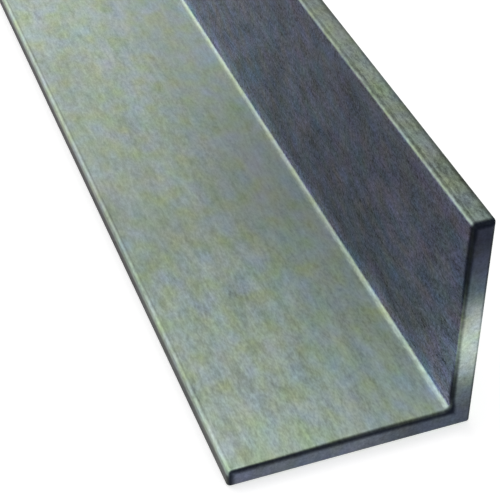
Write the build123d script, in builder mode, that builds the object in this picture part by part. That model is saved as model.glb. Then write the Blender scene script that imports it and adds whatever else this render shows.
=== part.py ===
from build123d import *
import os

# Equal-leg angle section: one length of metal stock, sawn square at both ends.
# Frame: +Z up, length along Y. One leg lies flat on Z = 0 and the other stands
# along the +X side. The origin is on the underside, midway along the bar and
# midway across the flat leg. All sizes are in millimetres.

os.makedirs("parts", exist_ok=True)

# Section
flat_leg_width = 50.8
upright_leg_height = 50.8
flat_leg_thickness = 4.7625
upright_leg_thickness = 4.7625
root_radius = 1.2
toe_radius = 1.1
outer_edge_radius = 0.5

# Length and sawn ends
bar_length = 609.6
end_edge_radius = 1.1

# Corners of the section, as places across the bar and heights above its underside
toe_side = -flat_leg_width / 2
heel_side = flat_leg_width / 2
upright_inner_side = heel_side - upright_leg_thickness

heel = (heel_side, 0)
flat_toe_under = (toe_side, 0)
flat_toe_top = (toe_side, flat_leg_thickness)
root = (upright_inner_side, flat_leg_thickness)
upright_toe_inner = (upright_inner_side, upright_leg_height)
upright_toe_outer = (heel_side, upright_leg_height)

# Each rounded corner of the section and its radius
rounded_corners = [
    (root, root_radius),
    (flat_toe_top, toe_radius),
    (upright_toe_inner, toe_radius),
    (heel, outer_edge_radius),
    (flat_toe_under, outer_edge_radius),
    (upright_toe_outer, outer_edge_radius),
]

with BuildPart() as angle_bar:

    # L section, with its root and toes rounded and its outer edges eased
    with BuildSketch(Plane.XZ) as section:
        with BuildLine():
            Polyline(
                heel,
                flat_toe_under,
                flat_toe_top,
                root,
                upright_toe_inner,
                upright_toe_outer,
                close=True,
            )
        make_face()
        for corner, radius in rounded_corners:
            fillet(section.vertices().sort_by_distance(corner)[0], radius=radius)
    extrude(amount=bar_length / 2, both=True)

    # Both sawn ends are dressed round all the way along their edges
    sawn_ends = angle_bar.faces().filter_by(Axis.Y)
    fillet(sawn_ends.edges(), radius=end_edge_radius)

angle_bar.part.label = "angle_bar"
export_step(angle_bar.part, "parts/angle_bar.step")
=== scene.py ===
import bpy
import math
from mathutils import Matrix, Vector
from types import SimpleNamespace


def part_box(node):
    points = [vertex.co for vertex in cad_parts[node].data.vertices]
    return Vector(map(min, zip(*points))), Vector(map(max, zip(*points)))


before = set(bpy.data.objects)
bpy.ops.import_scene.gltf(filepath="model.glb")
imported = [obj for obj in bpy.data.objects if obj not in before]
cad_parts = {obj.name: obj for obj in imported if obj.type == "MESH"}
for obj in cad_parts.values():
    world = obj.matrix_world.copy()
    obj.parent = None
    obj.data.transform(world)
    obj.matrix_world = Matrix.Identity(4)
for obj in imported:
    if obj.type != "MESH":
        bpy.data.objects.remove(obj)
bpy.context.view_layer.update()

# The scene is in metres, in the part's own frame: +Z up, the bar along Y, one leg
# flat on Z = 0 and the other upright along the +X side. The finish counts in
# millimetres, as the section is drawn.

MM = 0.001
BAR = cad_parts["angle_bar"]
BAR_LOW, BAR_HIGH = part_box("angle_bar")

# The section and its length, in millimetres
HEEL_SIDE = BAR_HIGH[0] / MM
HALF_LENGTH = BAR_HIGH[1] / MM
LEG_WIDTH = BAR_HIGH[2] / MM
LEG_THICKNESS = 4.7625

# Places in the noise, far enough apart for each pattern to be its own
BLUE_PATCH_SHIFT = 300
RED_PATCH_SHIFT = 600
FINE_GRAIN_SHIFT = 900
BROAD_RED_SHIFT = 1200

# The metal's surface, and the height of its grain
METALLIC = 0.9
ROUGHNESS = 0.5
BUMP_STRENGTH = 0.3
BUMP_HEIGHT = 0.03 * MM

# Studio, in metres and in Blender's strengths
FLOOR_RADIUS = 1.2
FLOOR_SIDES = 96
FLOOR_DROP = 0.05 * MM
FLOOR_GLOW = 0.5
AMBIENT_LIGHT = 0.55
BACKDROP_LIGHT = 1.0
LAMP_TARGET = Vector((0, -0.15, 0.02))
LAMP_DISTANCE = 1.6
LAMP_WIDTH = 1.0

# Viewpoint: azimuth from +Y towards +X, elevation above the horizon
VIEW_AZIMUTH = math.radians(20.45)
VIEW_ELEVATION = math.radians(39.618)
VIEW_ROLL = math.radians(0.378)
CAMERA_FROM_HEEL = Vector((-114.39, -181.59, 217.75)) * MM
SENSOR_WIDTH = 36.0
LENS = 109.57


class Shade:
    """A value inside a finish. Arithmetic on it adds the Math nodes that work it out."""

    def __init__(self, finish, socket):
        self.finish = finish
        self.socket = socket

    def __add__(self, other):
        return self.finish.math("ADD", self, other)

    def __radd__(self, other):
        return self.finish.math("ADD", other, self)

    def __sub__(self, other):
        return self.finish.math("SUBTRACT", self, other)

    def __rsub__(self, other):
        return self.finish.math("SUBTRACT", other, self)

    def __mul__(self, other):
        return self.finish.math("MULTIPLY", self, other)

    def __rmul__(self, other):
        return self.finish.math("MULTIPLY", other, self)

    def __truediv__(self, other):
        return self.finish.math("DIVIDE", self, other)

    def __abs__(self):
        return self.finish.math("ABSOLUTE", self)


class Finish:
    """One material or world, built node by node."""

    def __init__(self, holder):
        holder.use_nodes = True
        self.tree = holder.node_tree
        self.tree.nodes.clear()

    def node(self, kind, settings=None, inputs=None, output=0):
        """Adds a node: its settings first, then the values or links of its sockets."""
        made = self.tree.nodes.new(kind)
        for name, setting in (settings or {}).items():
            if name == "stops":
                self.set_stops(made.color_ramp, setting)
            else:
                setattr(made, name, setting)
        for name, value in (inputs or {}).items():
            if isinstance(value, Shade):
                self.tree.links.new(value.socket, made.inputs[name])
            else:
                made.inputs[name].default_value = value
        return Shade(self, made.outputs[output]) if made.outputs else None

    def set_stops(self, ramp, stops):
        while len(ramp.elements) > 1:
            ramp.elements.remove(ramp.elements[-1])
        for count, (place, shade) in enumerate(stops):
            stop = ramp.elements[0] if count == 0 else ramp.elements.new(place)
            stop.position = place
            stop.color = shade

    def math(self, operation, *values):
        return self.node("ShaderNodeMath", {"operation": operation}, dict(enumerate(values)))

    def smooth(self, value, start, end):
        """0 where value is at start, 1 where it is at end, and an even curve between."""
        return self.node(
            "ShaderNodeMapRange",
            {"interpolation_type": "SMOOTHSTEP"},
            {"Value": value, "From Min": start, "From Max": end},
        )

    def blend(self, factor, first, second):
        """A colour between first and second."""
        settings = {"data_type": "RGBA"}
        return self.node("ShaderNodeMix", settings, {0: factor, 6: first, 7: second}, output=2)

    def times(self, shade, multiplier):
        """A colour multiplied by another colour or by a plain value."""
        settings = {"data_type": "RGBA", "blend_type": "MULTIPLY"}
        return self.node("ShaderNodeMix", settings, {0: 1.0, 6: shade, 7: multiplier}, output=2)

    def hue(self, red, green, blue):
        return self.node("ShaderNodeCombineColor", {}, {0: red, 1: green, 2: blue})

    def bands(self, value, stops):
        """A colour that changes with value, which runs from 0 to 1, between the stops."""
        return self.node("ShaderNodeValToRGB", {"stops": stops}, {0: value})

    def place(self):
        """X, Y and Z on the object, in millimetres."""
        spot = self.node("ShaderNodeTexCoord", output="Object")
        return [self.node("ShaderNodeSeparateXYZ", {}, {0: spot}, output=axis) / MM for axis in "XYZ"]

    def facing(self):
        """X, Y and Z of the way that the surface faces."""
        way = self.node("ShaderNodeNewGeometry", output="Normal")
        return [self.node("ShaderNodeSeparateXYZ", {}, {0: way}, output=axis) for axis in "XYZ"]

    def noise(self, x, y, z, scale, detail=0.0, roughness=0.5):
        """Noise about zero, from about -0.5 to 0.5."""
        spot = self.node("ShaderNodeCombineXYZ", {}, {0: x, 1: y, 2: z})
        inputs = {"Vector": spot, "Scale": scale, "Detail": detail, "Roughness": roughness}
        return self.node("ShaderNodeTexNoise", {}, inputs) - 0.5

    def slow_noise(self, along, scale, start):
        """Slow noise about zero, which changes in one direction only."""
        inputs = {"W": along * scale + start, "Scale": 1.0, "Detail": 0.0}
        return self.node("ShaderNodeTexNoise", {"noise_dimensions": "1D"}, inputs) - 0.5

    def seen(self):
        """1 for a ray from the camera, from gloss or through glass, and 0 for any other."""
        rays = ("Is Camera Ray", "Is Glossy Ray", "Is Transmission Ray")
        from_camera, from_gloss, through_glass = [
            self.node("ShaderNodeLightPath", output=ray) for ray in rays
        ]
        return from_camera + from_gloss + through_glass

    def larger(self, first, second):
        return self.math("MAXIMUM", first, second)

    def smaller(self, first, second):
        return self.math("MINIMUM", first, second)

    def close(self, surface, kind="ShaderNodeOutputMaterial"):
        self.node(kind, {}, {"Surface": surface})


def colour(red, green, blue):
    """A linear colour from the 0 to 255 values that a screen shows."""
    def linear(level):
        share = level / 255
        return share / 12.92 if share <= 0.04045 else ((share + 0.055) / 1.055) ** 2.4
    return (linear(red), linear(green), linear(blue), 1.0)


# Colours as a screen shows them, before the tone of each place
FLAT_FACE = colour(150, 165, 154)
# Upright's inner side: made darker than the flat leg by painted shade
UPRIGHT_FACE_SHADED = colour(87, 90, 110)
# Flat leg's sawn end: darkened by painted shade
FLAT_END_SHADED = colour(93, 101, 113)
# Colour of the painted dark reflections round the dressed ends
PAINTED_END_LINE = colour(18, 24, 37)

# Linear colours of the lights and of the floor's paint
WHITE = (1.0, 1.0, 1.0, 1.0)
MATT_WHITE = (0.8, 0.8, 0.8, 1.0)


def places_on_bar(finish):
    """The places and distances that the finish goes by, in millimetres, and masks of the faces."""
    x, y, z = finish.place()
    facing_x, facing_y, facing_z = finish.facing()
    at = SimpleNamespace(x=x, y=y, z=z)

    # Distances from the outer side of the upright, from the nearer end and from the heel
    # along either leg, and on the sawn ends from their inner edges and toes
    at.from_heel = HEEL_SIDE - x
    at.from_end = HALF_LENGTH - abs(y)
    at.along_leg = finish.larger(at.from_heel, z)
    from_outside = finish.smaller(at.from_heel, z)
    at.from_rim = finish.smaller(LEG_THICKNESS - from_outside, LEG_WIDTH - at.along_leg)

    # Faces
    at.upright_inside = finish.smooth(facing_x, -0.8, -0.99) * finish.smooth(at.from_heel, 20, 10)
    at.upright_top = finish.smooth(facing_z, 0.6, 0.9) * finish.smooth(z, 40, 45)
    at.sawn_end = finish.smooth(abs(facing_y), 0.6, 0.9)
    on_flat_toe = finish.smooth(at.from_heel, 45, 50)
    at.flat_toe = finish.smooth(facing_x, -0.2, -0.8) * on_flat_toe

    # Parts of the roundings, from the top downwards
    flat_toe_rounding = finish.smooth(facing_z, 0.35, 0.65) * finish.smooth(facing_z, 1.0, 0.8)
    at.flat_toe_rounding = flat_toe_rounding * on_flat_toe
    at.upper_rounding = finish.smooth(facing_x, -0.02, -0.2) * finish.smooth(facing_x, -0.7, -0.4)
    at.lower_rounding = finish.smooth(facing_x, -0.55, -0.8) * finish.smooth(facing_x, -1.0, -0.9)

    # Lengths of the bar
    at.near_end = finish.smooth(at.from_end, 24, 3)
    at.inner_length = finish.smooth(at.from_end, 45, 80)
    at.middle_length = finish.smooth(at.from_end, 90, 140)
    at.smooth_length = at.inner_length * (1 - at.upright_inside)
    return at


def end_lines(finish, at):
    """Painted dark reflections: dark lines round the dressed ends, along their inner edges and along
    their outer ones.
    """
    upright_edge = finish.smooth(at.z, 5.2, 8)
    at_top = finish.smooth(at.z, 46, 49)
    far_out = finish.smooth(at.from_heel, 15, 45)
    # Height of the painted reflection on the upright's end, where the painted dark lines are narrower
    # and fainter
    painted_reflection_height = finish.smooth(at.z, 9, 22) * finish.smooth(at.z, 39, 24)

    reach = 1.15 + upright_edge * (0.85 - 1.1 * painted_reflection_height) - 0.6 * far_out - 0.3 * at_top
    depth = 1.5 - 0.5 * upright_edge + 0.3 * far_out + 0.4 * at_top
    along_bar = finish.smooth(at.from_end, reach, 0.35 * reach)
    into_end = finish.smooth(at.from_rim, depth, 0.3 * depth)

    heel_line = finish.smooth(at.from_heel, 1.1, 0.5)
    sole_line = finish.smooth(at.z, 0.9, 0.3)
    outer_line = finish.smooth(at.from_end, 2.0, 1.0) * finish.larger(0.75 * heel_line, 0.3 * sole_line)

    strength = 0.88 + 0.09 * upright_edge - 0.45 * painted_reflection_height
    return finish.larger(along_bar * into_end, outer_line) * strength


def rolled_grain(finish, at):
    """Grain from 5 mm down to 0.1 mm, longer along the bar, and shorter inside the upright."""
    coarse = finish.larger(at.upright_top, at.sawn_end)
    broad = finish.noise(at.x, at.y * 0.18, at.z, scale=0.22, detail=3.0, roughness=1.0)
    fine_detail = 1.6 + 0.4 * coarse
    fine_x = at.x + FINE_GRAIN_SHIFT
    fine = finish.noise(fine_x, at.y * 0.38, at.z, scale=1.6, detail=fine_detail, roughness=1.0)
    grain = broad + (1.0 + 0.2 * coarse) * fine

    upright_broad = finish.noise(at.x, at.y * 0.35, at.z, scale=0.2, detail=3.0, roughness=1.0)
    upright_fine = finish.noise(fine_x, at.y * 0.65, at.z, scale=1.6, detail=2.0, roughness=1.0)
    upright_grain = upright_broad + 1.6 * upright_fine
    return grain + at.upright_inside * (upright_grain - grain)


def grain_depth(at):
    """How strongly the grain shows in the colour."""
    near_depth = 0.9 + 1.3 * at.upright_inside + 0.9 * at.upright_top - 0.1 * at.sawn_end
    return near_depth - (0.25 + 0.35 * at.upright_top) * at.smooth_length


def patch_hue(finish, at):
    """Patches a few millimetres across, yellowish to bluish and greenish to reddish."""
    blue_detail = 0.5 - 0.5 * at.smooth_length
    blue_x = at.x + BLUE_PATCH_SHIFT
    blue = finish.noise(blue_x, at.y * 0.65, at.z, scale=0.33, detail=blue_detail, roughness=0.8)
    blue_depth = 0.85 - 0.3 * at.sawn_end - 0.2 * at.smooth_length

    red_x = at.x + RED_PATCH_SHIFT
    red = finish.noise(red_x, at.y * 0.5, at.z, scale=0.2, detail=1.0, roughness=0.8)
    red_depth = 0.3 + 0.7 * at.upright_inside
    broad_red = finish.noise(at.x + BROAD_RED_SHIFT, at.y * 0.7, at.z, scale=0.07, detail=1.0)
    redness = 1 + red_depth * red + 0.14 * broad_red + 0.04 * at.smooth_length
    return finish.hue(redness, 1.0, 1 + blue_depth * blue)


def slow_tone(finish, at):
    """Slow changes of tone along the bar, and painted light that lightens both legs towards the root.
    """
    wander = finish.noise(at.x, at.y, at.z, scale=0.03)
    swell = finish.slow_noise(at.y + 12 * wander, scale=0.006, start=134)
    # Painted light: both legs lighter towards the root, most in the middle of the bar's length
    near_root = finish.smooth(at.along_leg, 48, 5)
    root_painted_light = 0.93 + 0.2 * near_root + at.middle_length * (0.17 * near_root - 0.06)
    return (1.16 + 0.61 * swell) * root_painted_light


def face_colour(finish, at):
    """The colour of the faces along the bar. Painted shade darkens the upright's inner side, and
    painted light and shade change it with height and mark the flat leg's toe, the inner roundings and
    the faces near the root.
    """
    # Painted light and shade on the upright's inner side: lighter at its foot and in its lower half
    # near the end, darker towards its top
    low_part = 0.9 * finish.smooth(at.z, 10, 5.5)
    lower_half = (0.55 * at.near_end - 0.1) * finish.smooth(at.z, 32, 14)
    upper_half = 0.2 * finish.smooth(at.z, 25, 46)
    upright_painted_light = at.upright_inside * (low_part + lower_half + 0.07 * at.inner_length - upper_half)

    away_from_end = 0.2 * finish.smooth(at.from_end, 30, 65)
    inner_side = 0.12 * finish.smooth(at.from_heel, 2.5, 4.0)
    outer_rim = 0.35 * finish.smooth(at.from_heel, 1.6, 0.2)
    top_tone = at.upright_top * (away_from_end + inner_side - 0.47 - outer_rim)

    # Painted highlight on the flat leg's toe rounding, and painted shade on the lower part of its toe
    # side
    toe_painted_light = 0.5 * at.flat_toe_rounding - 0.92 * at.flat_toe * finish.smooth(at.z, 4.3, 2.3)
    # Painted light on the steeper part of the inner roundings, and painted shade on their flatter part
    rounding_painted_light = (1 - at.flat_toe) * (0.3 * at.lower_rounding - 0.32 * at.upper_rounding)
    # Painted light: the faces are a little lighter near the root, except the upright's inner side
    flat_root_painted_light = 0.14 * finish.smooth(at.along_leg, 22, 5) * (1 - at.upright_inside)
    leg_tone = upright_painted_light + flat_root_painted_light - 0.1 * at.smooth_length
    tone = 1 + leg_tone + top_tone + toe_painted_light + rounding_painted_light

    # Painted shade: the upright's inner side takes its darker colour
    face = finish.blend(at.upright_inside, FLAT_FACE, UPRIGHT_FACE_SHADED)
    return finish.times(face, tone)


def end_colour(finish, at):
    """The colour of the sawn ends, in painted light and shade: a painted reflection lights the
    upright's at mid-height, painted shade makes it dark at both ends, and the flat leg's end is painted
    darker.
    """
    # Painted reflection light at mid-height of the upright's end; painted shade below it and darkest at
    # the top
    upright_end_painted_light = finish.bands(
        at.z / LEG_WIDTH,
        [
            (0.10, colour(66, 73, 84)),
            (0.20, colour(84, 96, 98)),
            (0.40, colour(172, 184, 175)),
            (0.48, colour(172, 184, 175)),
            (0.70, colour(76, 88, 98)),
            (0.80, colour(58, 64, 80)),
            (0.92, colour(35, 39, 52)),
        ],
    )
    return finish.blend(finish.smooth(at.from_heel, 12, 26), upright_end_painted_light, FLAT_END_SHADED)


def mill_metal():
    """Bare mill finish: fine grain along the bar and faint patches of hue, with painted light and shade
    on the faces, and a painted reflection and painted dark lines on the dressed ends.
    """
    metal = bpy.data.materials.new("mill_metal")
    finish = Finish(metal)
    at = places_on_bar(finish)
    grain = rolled_grain(finish, at)
    roll_lines = finish.noise(at.x, at.y * 0.02, at.z, scale=1.6, detail=2.0, roughness=0.8)
    painted_end_line = end_lines(finish, at)

    base = finish.blend(at.sawn_end, face_colour(finish, at), end_colour(finish, at))
    # Painted dark reflections round the dressed ends
    base = finish.blend(painted_end_line, base, PAINTED_END_LINE)
    pattern = 1 + grain_depth(at) * grain + 0.12 * roll_lines
    base = finish.times(base, pattern * slow_tone(finish, at))
    base = finish.times(base, patch_hue(finish, at))

    rough = ROUGHNESS - 0.2 * grain + 0.1 * roll_lines + 0.4 * painted_end_line
    height = grain + 0.5 * roll_lines
    inputs = {"Strength": BUMP_STRENGTH, "Distance": BUMP_HEIGHT, "Height": height}
    bump = finish.node("ShaderNodeBump", {}, inputs)
    surface = finish.node(
        "ShaderNodeBsdfPrincipled",
        {},
        {"Base Color": base, "Metallic": METALLIC, "Roughness": rough, "Normal": bump},
    )
    finish.close(surface)
    return metal


def floor_white():
    """Matt white, with a glow that only the camera, gloss and glass see."""
    paint = bpy.data.materials.new("floor_white")
    finish = Finish(paint)
    matt = finish.node("ShaderNodeBsdfDiffuse", {}, {"Color": MATT_WHITE})
    strength = FLOOR_GLOW * finish.seen()
    glow = finish.node("ShaderNodeEmission", {}, {"Color": WHITE, "Strength": strength})
    finish.close(finish.node("ShaderNodeAddShader", {}, {0: matt, 1: glow}))
    return paint


def dress_bar():
    BAR.data.materials[0] = mill_metal()


def lay_floor():
    bpy.ops.object.select_all(action="DESELECT")
    bpy.ops.mesh.primitive_circle_add(
        vertices=FLOOR_SIDES, radius=FLOOR_RADIUS, fill_type="NGON", location=(0, 0, -FLOOR_DROP)
    )
    floor = bpy.context.object
    floor.name = "floor"
    floor.data.materials.append(floor_white())


def light_world():
    """Soft light from all round, in front of a white backdrop."""
    world = bpy.data.worlds.new("studio")
    bpy.context.scene.world = world
    finish = Finish(world)
    ambient = finish.node("ShaderNodeBackground", {}, {"Color": WHITE, "Strength": AMBIENT_LIGHT})
    backdrop = finish.node("ShaderNodeBackground", {}, {"Color": WHITE, "Strength": BACKDROP_LIGHT})
    mixed = finish.node("ShaderNodeMixShader", {}, {0: finish.seen(), 1: ambient, 2: backdrop})
    finish.close(mixed, "ShaderNodeOutputWorld")


def hang_lamp(name, azimuth, elevation, power):
    """A square soft box that faces the near half of the bar. Azimuth runs from +Y towards +X."""
    turn = math.radians(azimuth)
    rise = math.radians(elevation)
    way = Vector((math.sin(turn) * math.cos(rise), math.cos(turn) * math.cos(rise), math.sin(rise)))
    data = bpy.data.lights.new(name, "AREA")
    data.shape = "SQUARE"
    data.size = LAMP_WIDTH
    data.energy = power
    lamp = bpy.data.objects.new(name, data)
    lamp.location = LAMP_TARGET + LAMP_DISTANCE * way
    lamp.rotation_euler = (-way).to_track_quat("-Z", "Y").to_euler()
    bpy.context.scene.collection.objects.link(lamp)


def set_camera():
    near_heel = Vector((BAR_HIGH[0], BAR_LOW[1], BAR_LOW[2]))
    data = bpy.data.cameras.new("camera")
    data.sensor_width = SENSOR_WIDTH
    data.lens = LENS
    camera = bpy.data.objects.new("camera", data)
    turn = Matrix.Rotation(-VIEW_AZIMUTH, 4, "Z")
    tip = Matrix.Rotation(math.radians(90) - VIEW_ELEVATION, 4, "X")
    roll = Matrix.Rotation(VIEW_ROLL, 4, "Z")
    camera.matrix_world = Matrix.Translation(near_heel + CAMERA_FROM_HEEL) @ turn @ tip @ roll
    bpy.context.scene.collection.objects.link(camera)
    bpy.context.scene.camera = camera


dress_bar()
lay_floor()
light_world()
hang_lamp("back_lamp", 0, 15, 3.4)
hang_lamp("high_lamp", -30, 68, 4.8)
hang_lamp("right_lamp", 90, 30, 1.2)
hang_lamp("front_lamp", 180, 30, 2.8)
hang_lamp("left_lamp", -90, 25, 1.4)
set_camera()
bpy.context.scene.view_settings.view_transform = "Standard"
